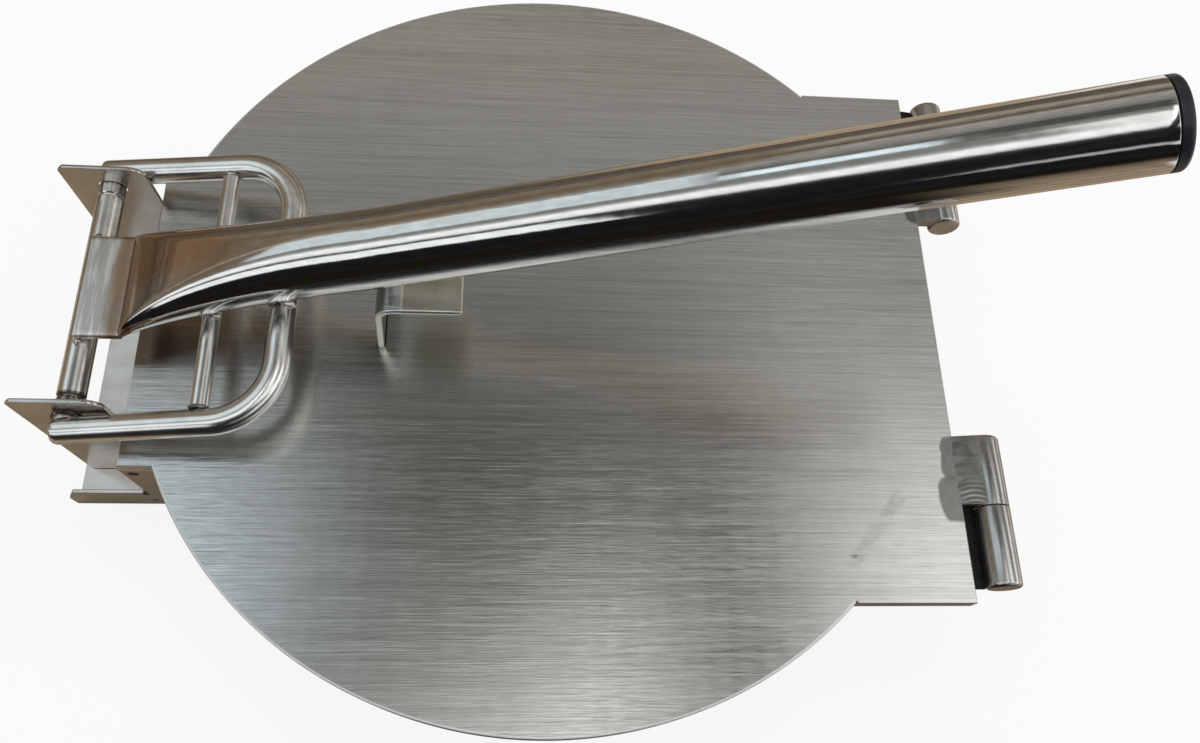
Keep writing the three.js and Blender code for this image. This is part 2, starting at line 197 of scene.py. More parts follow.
table_half = 3.0
table_corners = table_half * np.array([(-1, -1, 0), (1, -1, 0), (1, 1, 0), (-1, 1, 0)])
table = bpy.data.meshes.new("table_top")
table.from_pydata(table_corners.tolist(), [], [(0, 1, 2, 3)])
table_top = bpy.data.objects.new("table_top", table)
bpy.context.scene.collection.objects.link(table_top)
table_paint = bpy.data.materials.new("pale_table")
table_paint.use_nodes = True
table_paint.node_tree.nodes.clear()
paint = Shade(table_paint.node_tree)
table_to_camera = paint.make("ShaderNodeLightPath", output="Is Camera Ray")
table_to_steel = paint.make("ShaderNodeLightPath", output="Is Glossy Ray")
place = paint.make("ShaderNodeTexCoord", output="Object")
stretched = paint.make("ShaderNodeMapping", None, {"Vector": place, "Scale": (3, 26, 1)})
boards = paint.make("ShaderNodeTexNoise", None, {"Vector": stretched, "Scale": 1.0, "Detail": 3.0})
wood = boards.step(0.35, 0.65).mix((0.36, 0.255, 0.155), (0.56, 0.43, 0.28))
# The wood is unlit toward the camera's side and behind the pivot, and a pale sheet lies at the right
table_x, table_y = place.split()[:2]
far_right = table_x.step(0.18, 0.28)
near_side = table_y.step(-0.07, -0.19) * (1 - far_right) + table_y.step(-0.06, -0.78) * far_right
behind_pivot = table_y.step(0.08, 0.22) * table_x.step(0.02, -0.12) * 0.7
unlit = near_side * (table_x - table_y * 1.2).step(-0.04, 0.06) + behind_pivot
pale_sheet = table_x.step(0.34, 0.42) * table_y.band(-0.24, 0.90, 0.12)
wood = pale_sheet.mix(unlit.mix(wood, (0.02, 0.016, 0.012)), (0.95, 0.95, 0.92))
table_colour = table_to_camera.mix(wood, (0.92, 0.92, 0.92))
diffuse = paint.make("ShaderNodeBsdfDiffuse", None, {"Color": table_colour})
glow = paint.make("ShaderNodeEmission", None, {"Color": (1, 1, 1, 1), "Strength": 1.0})
glow_to_steel = table_to_steel * ((1 - unlit) * 0.06 + pale_sheet * 0.90)
glow_share = table_to_camera.math("MAXIMUM", table_to_camera * 0.88, glow_to_steel)
table_mix = paint.make("ShaderNodeMixShader", None, {0: glow_share, 1: diffuse, 2: glow})
paint.make("ShaderNodeOutputMaterial", None, {"Surface": table_mix})
table.materials.append(table_paint)

lamp = bpy.data.lights.new("soft_box", "AREA")
lamp.shape = "RECTANGLE"
lamp.size = 1.2
lamp.size_y = 1.0
lamp.energy = 9
lamp_object = bpy.data.objects.new("soft_box", lamp)
lamp_place = Vector((0.1, 0.75, 1.5))
lamp_aim = Vector((0.0, 0.0, 0.1))
lamp_object.location = lamp_place
lamp_object.visible_glossy = False
lamp_object.rotation_euler = (lamp_aim - lamp_place).to_track_quat("-Z", "Y").to_euler()
bpy.context.scene.collection.objects.link(lamp_object)

# The camera's place and turn come from the plates' circle and straight edges in the photo
camera = bpy.data.cameras.new("camera")
camera.sensor_width = 36
camera.lens = 29.325
camera.clip_start = 0.01
camera_object = bpy.data.objects.new("camera", camera)
bpy.context.scene.collection.objects.link(camera_object)
camera_right = Vector((0.99602959, -0.01507277, 0.08773745))
camera_up = Vector((-0.01903619, 0.92670446, 0.3753085))
camera_back = camera_right.cross(camera_up)
camera_turn = Matrix((camera_right, camera_up, camera_back)).transposed().to_4x4()
camera_object.matrix_world = Matrix.Translation((-0.0142008, -0.1608370, 0.3964088)) @ camera_turn
bpy.context.scene.camera = camera_object
bpy.context.scene.view_settings.view_transform = "Standard"


# The two plates: 3.2 mm stainless sheet cut to a round with a wide tab for the hinges and a narrow one for
# the lever. Both faces are brushed along X, and the cut edges are dressed with a small round.
mm = 0.001


def skin(name, rings, cap=True):
    """A mesh through rings, an array (along, around, 3): quads between neighbouring rings and a flat face
    over each open end. If the quads enclose a negative volume, every face is turned round."""
    along, around = rings.shape[:2]
    index = np.arange(along * around).reshape(along, around)
    beside = np.roll(index, -1, axis=1)
    quads = np.stack([index[:-1], beside[:-1], beside[1:], index[1:]], axis=-1).reshape(-1, 4)
    points = rings.reshape(-1, 3)
    corner = points[quads] - points.mean(axis=0)
    normal = np.cross(corner[:, 2] - corner[:, 0], corner[:, 3] - corner[:, 1])
    if (corner.mean(axis=1) * normal).sum() < 0:
        quads = quads[:, ::-1]
        ends = [index[0].tolist(), index[-1][::-1].tolist()]
    else:
        ends = [index[0][::-1].tolist(), index[-1].tolist()]
    mesh = bpy.data.meshes.new(name)
    mesh.from_pydata(points.tolist(), [], quads.tolist() + (ends if cap else []))
    return mesh


def piece(mesh, material, body, slot, *nodes, crease=30):
    """An object from a finished mesh: smooth but for edges over crease degrees, riding on its body."""
    mesh.set_sharp_from_angle(angle=math.radians(crease))
    mesh.polygons.foreach_set("use_smooth", [len(face.vertices) < 9 for face in mesh.polygons])
    mesh.materials.append(material)
    made = bpy.data.objects.new(mesh.name, mesh)
    bpy.context.scene.collection.objects.link(made)
    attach(made, body)
    if nodes:
        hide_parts(*nodes)
    return made


def finish_of(name, metallic=1.0, **fixed):
    """A new material: its Object coordinates to build on and a function that closes it."""
    material = bpy.data.materials.new(name)
    material.use_nodes = True
    tree = material.node_tree
    tree.nodes.clear()
    start = Shade(tree)
    place = start.make("ShaderNodeTexCoord", output="Object")

    def close(colour, roughness, bump=None, depth=0.00005):
        inputs = {"Base Color": colour, "Roughness": roughness, "Metallic": metallic, **fixed}
        if bump is not None:
            inputs["Normal"] = start.make(
                "ShaderNodeBump", None, {"Strength": 1.0, "Distance": depth, "Height": bump}
            )
        shader = start.make("ShaderNodeBsdfPrincipled", None, inputs)
        start.make("ShaderNodeOutputMaterial", None, {"Surface": shader})
        return material

    return place, close


def noise(place, scale, detail=2.0, rough=0.5):
    """Soft noise from 0 to 1, with scale features in a metre along each axis."""
    stretched = place.make("ShaderNodeMapping", None, {"Vector": place, "Scale": scale})
    inputs = {"Vector": stretched, "Scale": 1.0, "Detail": detail, "Roughness": rough}
    return place.make("ShaderNodeTexNoise", None, inputs)


plate_low, plate_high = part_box("top_plate")
lever_edge, hinge_edge = plate_low.x, plate_high.x
disc_radius = plate_high.y
hinge_tab_half = 108.8 * mm
lever_tab_half = 61.5 * mm
edge_round = 0.45 * mm
round_start, round_end = -139.2 * mm, 106.5 * mm
tab_start = 107.2 * mm
patch_half = 8.6 * mm
patch_ragged = 2.2 * mm


def brushed_finish(name, face_z, ground_patches):
    """Grain along X in three widths, cloudy wear over it and darker ground patches beside the hinge welds.
    Hair lines finer than a pixel only blur the mirror image across the grain. A highlight is painted on the
    cut edge."""
    place, close = finish_of(name)
    x, y, z = place.split()
    hair = noise(place, (60, 8000, 800), 1)
    fine = noise(place, (24, 2900, 300), 2)
    middle = noise(place, (10, 950, 120), 3)
    broad = noise(place, (3.5, 170, 40), 3)
    cloud = noise(place, (9, 14, 11), 4)
    long_marks = noise(place, (14, 420, 60), 1).step(0.66, 0.78)
    grain = fine * 0.48 + middle * 0.34 + broad * 0.18
    tone = grain * 1.7 - 0.35 + (cloud - 0.5) * 0.4
    colour = tone.step(0.0, 1.0).mix((0.50, 0.495, 0.475), (0.80, 0.795, 0.775))
    colour = (long_marks * 0.25).mix(colour, (0.36, 0.355, 0.34))
    rough = 0.13 + grain * 0.08 + (cloud - 0.5) * 0.05
    relief = hair * 0.62 + fine * 0.22 + middle * 0.12 + broad * 0.04
    cross_grain = noise(place, (1100, 260, 300), 2)
    ragged = (noise(place, (150, 210, 200), 2) - 0.5) * patch_ragged
    for patch_x, patch_y, reach in ground_patches:
        reach_x = (x + ragged - patch_x) / reach
        reach_y = (y + ragged - patch_y) / patch_half
        far = reach_x * reach_x * (reach_x * reach_x) + reach_y * reach_y * (reach_y * reach_y)
        ground = far.step(1.35, 0.62)
        shadow = far.step(0.30, 0.95) * ground
        colour = (ground * 0.92).mix(colour, cross_grain.mix((0.15, 0.15, 0.145), (0.27, 0.265, 0.26)))
        colour = (shadow * 0.35).mix(colour, (0.18, 0.18, 0.17))
        rough = rough + ground * 0.05
        relief = relief * (1 - ground) + cross_grain * ground * 0.25
    # Painted highlight on the cut edges: a lighter colour, more roughness and no grain relief
    edge = z.step(face_z - 0.03 * mm, face_z - 0.12 * mm)
    round_rim = (x * x + y * y).band((disc_radius - 0.7 * mm) ** 2, (disc_radius + mm) ** 2, 0.0001)
    round_rim = round_rim * x.band(round_start, round_end, 0.3 * mm)
    tab_rim = (y * y).step((hinge_tab_half - 0.9 * mm) ** 2, (hinge_tab_half - 0.5 * mm) ** 2)
    tab_rim = tab_rim * x.step(tab_start, tab_start + 0.6 * mm)
    rim = round_rim.math("MAXIMUM", round_rim, tab_rim)
    edge = edge.math("MAXIMUM", edge, rim)
    colour = (edge * 0.8).mix(colour, (0.92, 0.91, 0.89))
    rough = rough + edge * 0.22
    return x, y, close, colour, rough, relief * (1 - edge)


notch_start = 1.3 * mm
notch_end = 0.5 * mm
notch_depth = 1.0 * mm


def plate_outline(inset):
    """The plate's outline, inset by a distance: one side's arc and its two tab corners, with a small cutting
    notch where the hinge tab meets the round, and the same points mirrored for the other side."""
    radius = disc_radius - inset
    half_hinge, half_lever = hinge_tab_half - inset, lever_tab_half - inset
    hinge_turn = math.asin(half_hinge / radius)
    lever_turn = math.pi - math.asin(half_lever / radius)
    turns = np.linspace(hinge_turn, lever_turn, 130)
    back_arc = np.stack([radius * np.cos(turns), radius * np.sin(turns)], axis=1)
    arc_x = back_arc[0, 0]
    notch = np.array([(arc_x + notch_start, half_hinge), (arc_x + notch_end, half_hinge - notch_depth)])
    tab = np.array([[hinge_edge - inset, half_hinge]])
    lever = np.array([[lever_edge + inset, half_lever]])
    half = np.concatenate([tab, notch, back_arc, lever])
    front = half[::-1] * (1, -1)
    return np.concatenate([half, front])


def plate_mesh(name, low, high):
    """The outline carried up the edge: each ring is inset by the edge's rounding at its level."""
    turns = np.linspace(0, math.pi / 2, 5)
    insets = edge_round * (1 - np.sin(turns))
    rises = edge_round * (1 - np.cos(turns))
    levels = [(i, low + r) for i, r in zip(insets, rises)]
    levels += [(i, high - r) for i, r in zip(insets[::-1], rises[::-1])]
    rings = []
    for inset, level in levels:
        flat = plate_outline(inset)
        rings.append(np.column_stack([flat, np.full(len(flat), level)]))
    return skin(name, np.array(rings))


patch_inset = 10.4 * mm
patch_step = 15.2 * mm
front_middle = -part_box("top_barrel_front")[0].y - patch_inset
back_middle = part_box("top_barrel_back")[1].y - patch_inset
patch_places = [
    (hinge_edge, sign * (middle + shift), reach)
    for sign, middle in ((-1, front_middle), (1, back_middle))
    for shift, reach in ((-patch_step / 2, 5.6 * mm), (patch_step / 2, 8.1 * mm))
]
brush_depth = 0.000036
x, y, close, colour, rough, relief = brushed_finish("brushed_top_plate", plate_high.z, patch_places)
# A faint smudge runs across the grain near the front hinge corner, with a small dark scribble at its end
smudge_x, smudge_y = 108.5 * mm, -93.0 * mm
smudge_cos, smudge_sin = 0.64, 0.77
smudge_off = (x - smudge_x) * smudge_sin - (y - smudge_y) * smudge_cos
smudge_run = (x - smudge_x) * smudge_cos + (y - smudge_y) * smudge_sin
patchy = noise(x.make("ShaderNodeCombineXYZ", None, {0: x, 1: y, 2: 0.0}), (150, 260, 1), 4)
smudge = smudge_off.band(-1.0 * mm, 1.4 * mm, 2.2 * mm) * smudge_run.band(1 * mm, 30 * mm, 8 * mm)
smudge = smudge * patchy.step(0.25, 0.85)
scribble = (y + 92.5 * mm - (x - 108 * mm) * 0.35).band(-0.4 * mm, 0.6 * mm, 0.5 * mm)
scribble = scribble * x.band(106.8 * mm, 111.5 * mm, 0.8 * mm) * patchy.step(0.44, 0.56)
colour = (smudge * 0.48 + scribble * 0.50).mix(colour, (0.28, 0.275, 0.27))
top_finish = close(colour, rough, relief, brush_depth)
upper_plate = plate_mesh("upper_plate", plate_low.z, plate_high.z)
piece(upper_plate, top_finish, "top", "brushed_plate", "top_plate")

bottom_low, bottom_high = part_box("bottom_plate")
x, y, close, colour, rough, relief = brushed_finish("brushed_bottom_plate", bottom_high.z, [])
bottom_finish = close(colour, rough, relief, brush_depth)
lower_plate = plate_mesh("lower_plate", bottom_low.z, bottom_high.z)
piece(lower_plate, bottom_finish, "base", "brushed_plate", "bottom_plate")


# The channel and its two cheeks: 1.5 mm stainless sheet with a dull mill polish. The channel is folded up
# along both sides; the cheeks are upright tabs with one rounded corner, welded to its floor.
def softened(name, node, width):
    """A copy of a CAD node with doubled points merged, flat faces joined and its edges rounded by width."""
    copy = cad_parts[node].data.copy()
    copy.name = name
    work = bmesh.new()
    work.from_mesh(copy)
    bmesh.ops.remove_doubles(work, verts=work.verts, dist=1e-6)
    bmesh.ops.dissolve_limit(work, angle_limit=math.radians(1), verts=work.verts, edges=work.edges)
    sharp = [e for e in work.edges if len(e.link_faces) == 2 and e.calc_face_angle(0) > math.radians(35)]
    bevel = {"offset": width, "segments": 2, "profile": 0.5, "affect": "EDGES", "clamp_overlap": True}
    bmesh.ops.bevel(work, geom=sharp, **bevel)
    work.to_mesh(copy)
    work.free()
    copy.materials.clear()
    return copy


place, close = finish_of("mill_polished_sheet")
haze = noise(place, (26, 26, 26), 4)
scuffs = noise(place, (600, 90, 600), 3)
smear = noise(place, (70, 160, 70), 3)
sheet_colour = (haze * 0.7 + smear * 0.3).step(0.30, 0.72).mix((0.47, 0.43, 0.39), (0.68, 0.655, 0.625))
sheet_rough = 0.13 + haze * 0.12 + scuffs * 0.05
x, y, z = place.split()
# Three burnt spots of weld show on the outside of the front wall, near its end
spot_ragged = (scuffs - 0.5) * 0.0015
wall_outside = y.step(-59 * mm, -60 * mm)
for spot_x, spot_z, spot_size in ((-149.5, 45.3, 2.1), (-154.1, 17.6, 1.4), (-153.3, 8.6, 1.2)):
    off_x, off_z = x - spot_x * mm + spot_ragged, z - spot_z * mm + spot_ragged
    spot_area = (spot_size * mm) ** 2
    spot = (off_x * off_x + off_z * off_z).step(spot_area * 1.3, spot_area * 0.5) * wall_outside
    sheet_colour = (spot * 0.9).mix(sheet_colour, (0.035, 0.028, 0.022))
    sheet_rough = sheet_rough + spot * 0.3
sheet_finish = close(sheet_colour, sheet_rough, smear * 0.7 + scuffs * 0.3, 0.00006)
sheet_edge = 0.25 * mm
piece(softened("channel", "base_channel", sheet_edge), sheet_finish, "base", "polished_sheet", "base_channel")
for side in ("front", "back"):
    cheek = softened("cheek_plate_" + side, "cheek_" + side, sheet_edge)
    piece(cheek, sheet_finish, "base", "polished_sheet", "cheek_" + side)


# The hinges: each has a barrel on the upper plate and one on the lower plate, turned from 13 mm bar, over a
# 7 mm pin. The upper barrels are joined to the plate by a bead with crescent ripples, and the plate is ground
# beside it; the lower ones are joined by a burnt bead, painted near black for the shade in the gap under the
# upper plate.
def lathe_along_y(name, stations, centre_x, centre_z, around=64):
    """A turned piece from pairs of place along Y and radius."""
    stations = np.array(stations)
    turns = np.linspace(0, 2 * math.pi, around, endpoint=False)
    rings = np.stack([
        centre_x + stations[:, 1:] * np.cos(turns),
        np.broadcast_to(stations[:, :1], (len(stations), around)),
        centre_z + stations[:, 1:] * np.sin(turns),
    ], axis=-1)
    return skin(name, rings)


place, close = finish_of("turned_bar")
turning = noise(place, (60, 2600, 60), 2)
blotch = noise(place, (60, 45, 60), 4)
bar_colour = (blotch * 0.8 + turning * 0.2).step(0.3, 0.7).mix((0.42, 0.41, 0.40), (0.62, 0.61, 0.60))
bar_rough = 0.18 + turning * 0.04 + blotch * 0.06
barrel_finish = close(bar_colour, bar_rough, turning * 0.05 + blotch * 0.4, 0.00003)

place, close = finish_of("hinge_weld_bead")
crater = noise(place, (500, 700, 500), 3)
smoke = noise(place, (120, 90, 120), 4)
bead_colour = (crater * 0.3 + smoke * 0.7).step(0.32, 0.68).mix((0.24, 0.235, 0.225), (0.44, 0.43, 0.415))
bead_finish = close(bead_colour, 0.28 + crater * 0.12, crater, 0.00005)

# Burnt weld: dark from the heat, and painted near black for the shade in the gaps where it sits
place, close = finish_of("burnt_weld_with_painted_shade", metallic=0.6)
scale = noise(place, (700, 900, 700), 3)
burnt_and_shade_colour = scale.step(0.35, 0.7).mix((0.008, 0.008, 0.008), (0.035, 0.030, 0.026))
burnt_and_shaded_finish = close(burnt_and_shade_colour, 0.50 + scale * 0.25, scale, 0.00010)

barrel_radius = 6.5 * mm
free_round = 1.5 * mm
split_round = 0.2 * mm
hinge_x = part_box("base_barrel_front")[1].x - barrel_radius
hinge_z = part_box("base_barrel_front")[0].z + barrel_radius
ripple_pitch = 1.9 * mm
ripple_depth = 0.10 * mm


def barrel_mesh(name, node, split_low):
    """A bar between the solid barrel's ends: each end is a quarter circle carried round the pin's axis, small
    at the split and large at the free end."""
    low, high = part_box(node)
    turns = np.linspace(0, math.pi / 2, 5)
    first, last = (split_round, free_round) if split_low else (free_round, split_round)
    inward, shrink = 1 - np.cos(turns), 1 - np.sin(turns)
    start = np.stack([low.y + first * inward, barrel_radius - first * shrink], axis=1)
    finish = np.stack([high.y - last * inward, barrel_radius - last * shrink], axis=1)
    return lathe_along_y(name, np.concatenate([start, finish[::-1]]), hinge_x, hinge_z, 72)


bead_bite = 0.15 * mm
bead_gap = 0.3 * mm


def bead_mesh(
    name, node, crown_height, start_x, start_z, end_angle, bottom, ripples,
    split_low, past_split=-bead_gap, rows=110, columns=26,
):
    """A bead along Y from a plate's edge to a barrel. Across it the top rises as a sine from the plate to the
    barrel's flank; along it crescent ripples open toward the barrel and fade away from the split; the
    underside is flat. At the split it runs past the barrel's end by past_split."""
    low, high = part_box(node)
    along = np.linspace(0, 1, rows)[:, None]
    share = np.linspace(0, 1, columns)[None, :]
    end_x = hinge_x + (barrel_radius - bead_bite) * math.cos(end_angle)
    end_z = hinge_z + (barrel_radius - bead_bite) * math.sin(end_angle)
    taper = np.clip(np.minimum(along, 1 - along) * 9, 0, 1) ** 0.5
    wander = 0.5 * np.sin(along * 23) + 0.3 * np.sin(along * 41 + 1)
    run = (high.y - low.y) * along
    crescent = np.sin(2 * math.pi * (run / ripple_pitch - 1.5 * share * (1 - share) * 2 + 0.05 * wander))
    crown = np.sin(math.pi * np.clip(share, 0, 1)) ** 0.7
    split_end = along if split_low else 1 - along
    fresh = 0.06 + 0.94 * np.exp(-((split_end - 0.06) / 0.22) ** 2)
    bead_x = (start_x + wander * 0.5 * mm * (1 - share)) * (1 - share) + end_x * share
    bead_z = start_z * (1 - share) + end_z * share + crown_height * crown * (0.6 + 0.4 * taper)
    bead_z = bead_z + ripples * ripple_depth * crescent * crown * taper * fresh
    if split_low:
        start_y, end_y = low.y - past_split, high.y - bead_gap
    else:
        start_y, end_y = low.y + bead_gap, high.y + past_split
    bead_y = start_y + (end_y - start_y) * along + 0 * share
    upper = np.stack([bead_x, bead_y, bead_z], axis=-1)
    under = np.stack([bead_x, bead_y, np.full_like(bead_z, bottom)], axis=-1)[:, ::-1]
    return skin(name, np.concatenate([upper, under], axis=1))


for side in ("front", "back"):
    upper = barrel_mesh("upper_barrel_" + side, "top_barrel_" + side, side == "front")
    piece(upper, barrel_finish, "top", "turned_barrel", "top_barrel_" + side)
    lower = barrel_mesh("lower_barrel_" + side, "base_barrel_" + side, side == "back")
    piece(lower, barrel_finish, "base", "turned_barrel", "base_barrel_" + side)
    bead = bead_mesh(
        "upper_bead_" + side, "top_barrel_" + side, 0.35 * mm,
        hinge_edge - 0.9 * mm, plate_high.z - 0.12 * mm, math.radians(118), plate_low.z + 0.4 * mm,
        1.0, side == "front",
    )
    piece(bead, bead_finish, "top", "turned_barrel", crease=60)
    bead = bead_mesh(
        "lower_bead_" + side, "base_barrel_" + side, 0.3 * mm,
        hinge_edge - 0.5 * mm, bottom_high.z - 1.0 * mm, math.radians(196), bottom_low.z + 0.2 * mm,
        0.5, side == "back", past_split=1.6 * mm, rows=60, columns=14,
    )
    piece(bead, burnt_and_shaded_finish, "base", "turned_barrel", crease=60)
    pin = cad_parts["hinge_pin_" + side]
    pin.data.materials.clear()
    pin.data.materials.append(barrel_finish)


# The handle: a stainless tube, 26.7 mm across with a mirror polish, pressed flat at the pivot end. The flat
# is bent level and lies on the shaft; from the bend the tube swells to its full round over 97 mm.
place, close = finish_of("mirror_polish")
long_grain = noise(place, (14, 500, 500), 3)
dimples = noise(place, (60, 60, 60), 2)
specks = noise(place, (1500, 1500, 1500), 1)
x, y, z = place.split()
tip_mask = x.step(-150.0 * mm, -153.5 * mm)
tip_stain = noise(place, (110, 45, 110), 4)
tip_strokes = noise(place, (520, 40, 200), 3)
tip_heat = noise(place, (60, 30, 60), 3)
tube_colour = long_grain.step(0.35, 0.7).mix((0.66, 0.645, 0.625), (0.76, 0.745, 0.725))
# Past the bend the tube's back is browned: heat tint, and a painted reflection of the brown room
heat_tint_and_reflection = x.band(-150.5 * mm, -125 * mm, 30 * mm) * y.step(-10 * mm, 2 * mm)
tube_colour = (heat_tint_and_reflection * 0.85).mix(tube_colour, (0.72, 0.50, 0.34))
tip_light = (x + (tip_heat - 0.5) * (10 * mm)).step(-154.5 * mm, -160.5 * mm)
tip_colour = tip_light.mix((0.42, 0.29, 0.20), (0.70, 0.67, 0.64))
tip_colour = (tip_strokes.step(0.48, 0.60) * tip_light * 0.9).mix(tip_colour, (1.0, 0.99, 0.97))
tip_colour = (tip_stain.step(0.46, 0.76) * 0.45).mix(tip_colour, (0.40, 0.36, 0.33))
crease_x = x + (noise(place, (40, 160, 40), 3) - 0.5) * (2.2 * mm)
crease = crease_x.band(-151.3 * mm, -150.9 * mm, 0.6 * mm)
after_crease = crease_x.band(-150.0 * mm, -147.0 * mm, 1.2 * mm)
tip_colour = (after_crease * 0.7).mix(tip_colour, (0.42, 0.34, 0.27))
tube_colour = tip_mask.math("MAXIMUM", tip_mask, after_crease).mix(tube_colour, tip_colour)
# A dark line of painted shade runs along the crease of the bend
tube_colour = (crease * 0.8).mix(tube_colour, (0.10, 0.075, 0.055))
tube_rough = 0.055 + long_grain * 0.05 + specks.step(0.66, 0.8) * 0.05
tube_rough = tube_rough + tip_mask * (0.20 + tip_strokes * 0.16)
tube_bump = dimples * 0.75 + long_grain * 0.12 + tip_mask * (tip_stain * 0.3 + tip_strokes * 0.5)
tube_finish = close(tube_colour, tube_rough, tube_bump, 0.00010)

tube_diameter = 26.7 * mm
tube_wall = 1.5 * mm
tube_rise = math.radians(20.35)
tip_length = 15.8 * mm
tip_thickness = 3.2 * mm
round_length = 97 * mm
flattening = 2.4
swell_lift = 3.0 * mm
tip_bend = 5 * mm
tube_length = 333.9 * mm
bend_tangent = tip_bend * math.tan(tube_rise / 2)
tip_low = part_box("handle_tube")[0]
bend_x = tip_low.x + tip_length
tip_z = tip_low.z + tip_thickness / 2


def tube_line(s):
    """The centre line at distance s past the bend: level before it, an arc through it, then the rise."""
    angle = np.clip((s + bend_tangent) / (2 * bend_tangent), 0, 1) * tube_rise
    arc_x = bend_x - bend_tangent + tip_bend * np.sin(angle)
    arc_z = tip_z + tip_bend * (1 - np.cos(angle))
    before, after = s < -bend_tangent, s > bend_tangent
    x = np.where(before, bend_x + s, np.where(after, bend_x + s * math.cos(tube_rise), arc_x))
    z = np.where(before, tip_z, np.where(after, tip_z + s * math.sin(tube_rise), arc_z))
    return x, z, angle


def tube_rings(s, inset, around=112):
    """Rings of the tube: two half circles joined by flats, the flats shrinking as the height grows to the
    diameter, with the girth kept. The section's middle stands above the line by a sine of the share."""
    share = np.clip(s / round_length, 0, 1)
    tall = tip_thickness + (tube_diameter - tip_thickness) * (1 - (1 - share) ** flattening)
    flat = math.pi * (tube_diameter - tall) / 4
    lift = swell_lift * np.sin(math.pi * np.sqrt(share))
    radius = tall / 2 - inset
    perimeter = 2 * math.pi * radius + 4 * flat
    run = (np.arange(around) + 0.5) / around * perimeter[:, None]
    quarter = math.pi * radius[:, None] / 2
    flat2 = 2 * flat[:, None]
    turn_1 = np.clip(run, 0, quarter)
    on_top = np.clip(run - quarter, 0, flat2)
    turn_2 = np.clip(run - quarter - flat2, 0, 2 * quarter)
    on_bottom = np.clip(run - 3 * quarter - flat2, 0, flat2)
    turn_3 = np.clip(run - 3 * quarter - 2 * flat2, 0, quarter)
    turn = (turn_1 + turn_2 + turn_3) / radius[:, None]
    across = radius[:, None] * np.cos(turn) + flat[:, None] - on_top + on_bottom
    up = radius[:, None] * np.sin(turn) + lift[:, None]
    x, z, angle = tube_line(s)
    sin, cos = np.sin(angle)[:, None], np.cos(angle)[:, None]
    return np.stack([x[:, None] - up * sin, across, z[:, None] + up * cos], axis=-1)


tube_edge = 0.35 * mm
bore_shown = 30 * mm
outer_s = np.concatenate([
    np.linspace(-tip_length + tube_edge, -bend_tangent, 14)[:-1],
    np.linspace(-bend_tangent, bend_tangent, 9)[:-1],
    bend_tangent + (round_length - bend_tangent) * np.linspace(0, 1, 90) ** 1.5,
    np.linspace(round_length, tube_length - tube_edge, 70)[1:],
])
turns = np.linspace(0, math.pi / 2, 5)[:-1]
edge_runs = [(tube_edge * (1 - math.cos(t)), tube_edge * (1 - math.sin(t))) for t in turns]
start = [tube_rings(np.array([-tip_length + run]), inset) for run, inset in edge_runs]
finish = [tube_rings(np.array([tube_length - run]), inset) for run, inset in edge_runs[::-1]]
bore_s = np.linspace(tube_length, tube_length - bore_shown, 8)
rings = np.concatenate([*start, tube_rings(outer_s, 0.0), *finish, tube_rings(bore_s, tube_wall)])
piece(skin("handle", rings), tube_finish, "lever", "mirror_tube", "handle_tube", crease=50)


# The end cap: a black plastic plug with a shallow dome, pushed into the open end of the handle.
place, close = finish_of("black_cap", metallic=0.0)
pores = noise(place, (1800, 1800, 1800), 2)
dust = noise(place, (220, 220, 220), 4)
cap_colour = dust.step(0.45, 0.8).mix((0.012, 0.014, 0.020), (0.040, 0.043, 0.055))
cap_finish = close(cap_colour, 0.36 + dust * 0.16, pores, 0.00004)
cap_gap = 0.3 * mm
cap_thickness = 4.8 * mm
cap_plug = 16 * mm
cap_wall = 2.2 * mm
rim_radius = tube_diameter / 2
plug_radius = rim_radius - tube_wall - cap_gap
rim_start = tube_length + cap_gap
cap_round = 1.6 * mm
cap_dome = 1.15 * mm


def cap_profile():
    """Radius and distance along the handle, from the plug's inside, round the rim and over the dome."""
    turns = np.linspace(0, math.pi / 2, 9)
    corner_r = rim_radius - cap_round + cap_round * np.cos(turns)
    corner_s = rim_start + cap_thickness - cap_dome - cap_round + cap_round * np.sin(turns)
    share = np.linspace(0, 1, 14)[1:]
    dome_r = (rim_radius - cap_round) * (1 - share)
    dome_s = rim_start + cap_thickness - cap_dome * (1 - share) ** 2
    plug_end = tube_length - cap_plug
    plug = np.array([
        (plug_radius - cap_wall, rim_start),
        (plug_radius - cap_wall, plug_end),
        (plug_radius - 0.4 * mm, plug_end),
        (plug_radius, plug_end + 0.4 * mm),
        (plug_radius, rim_start),
        (rim_radius - 0.2 * mm, rim_start),
        (rim_radius, rim_start + 0.2 * mm),
    ])
    radius = np.concatenate([plug[:, 0], corner_r, np.maximum(dome_r, 0.02 * mm)])
    along = np.concatenate([plug[:, 1], corner_s, dome_s])
    return radius, along


cap_radius, cap_along = cap_profile()
around = np.linspace(0, 2 * math.pi, 96, endpoint=False)
up = cap_radius[:, None] * np.sin(around)
side = cap_radius[:, None] * np.cos(around)
rings = np.stack([
    bend_x + cap_along[:, None] * math.cos(tube_rise) - up * math.sin(tube_rise),
    side,
    tip_z + cap_along[:, None] * math.sin(tube_rise) + up * math.cos(tube_rise),
], axis=-1)
piece(skin("cap", rings), cap_finish, "lever", "black_plastic", "end_cap", crease=40)


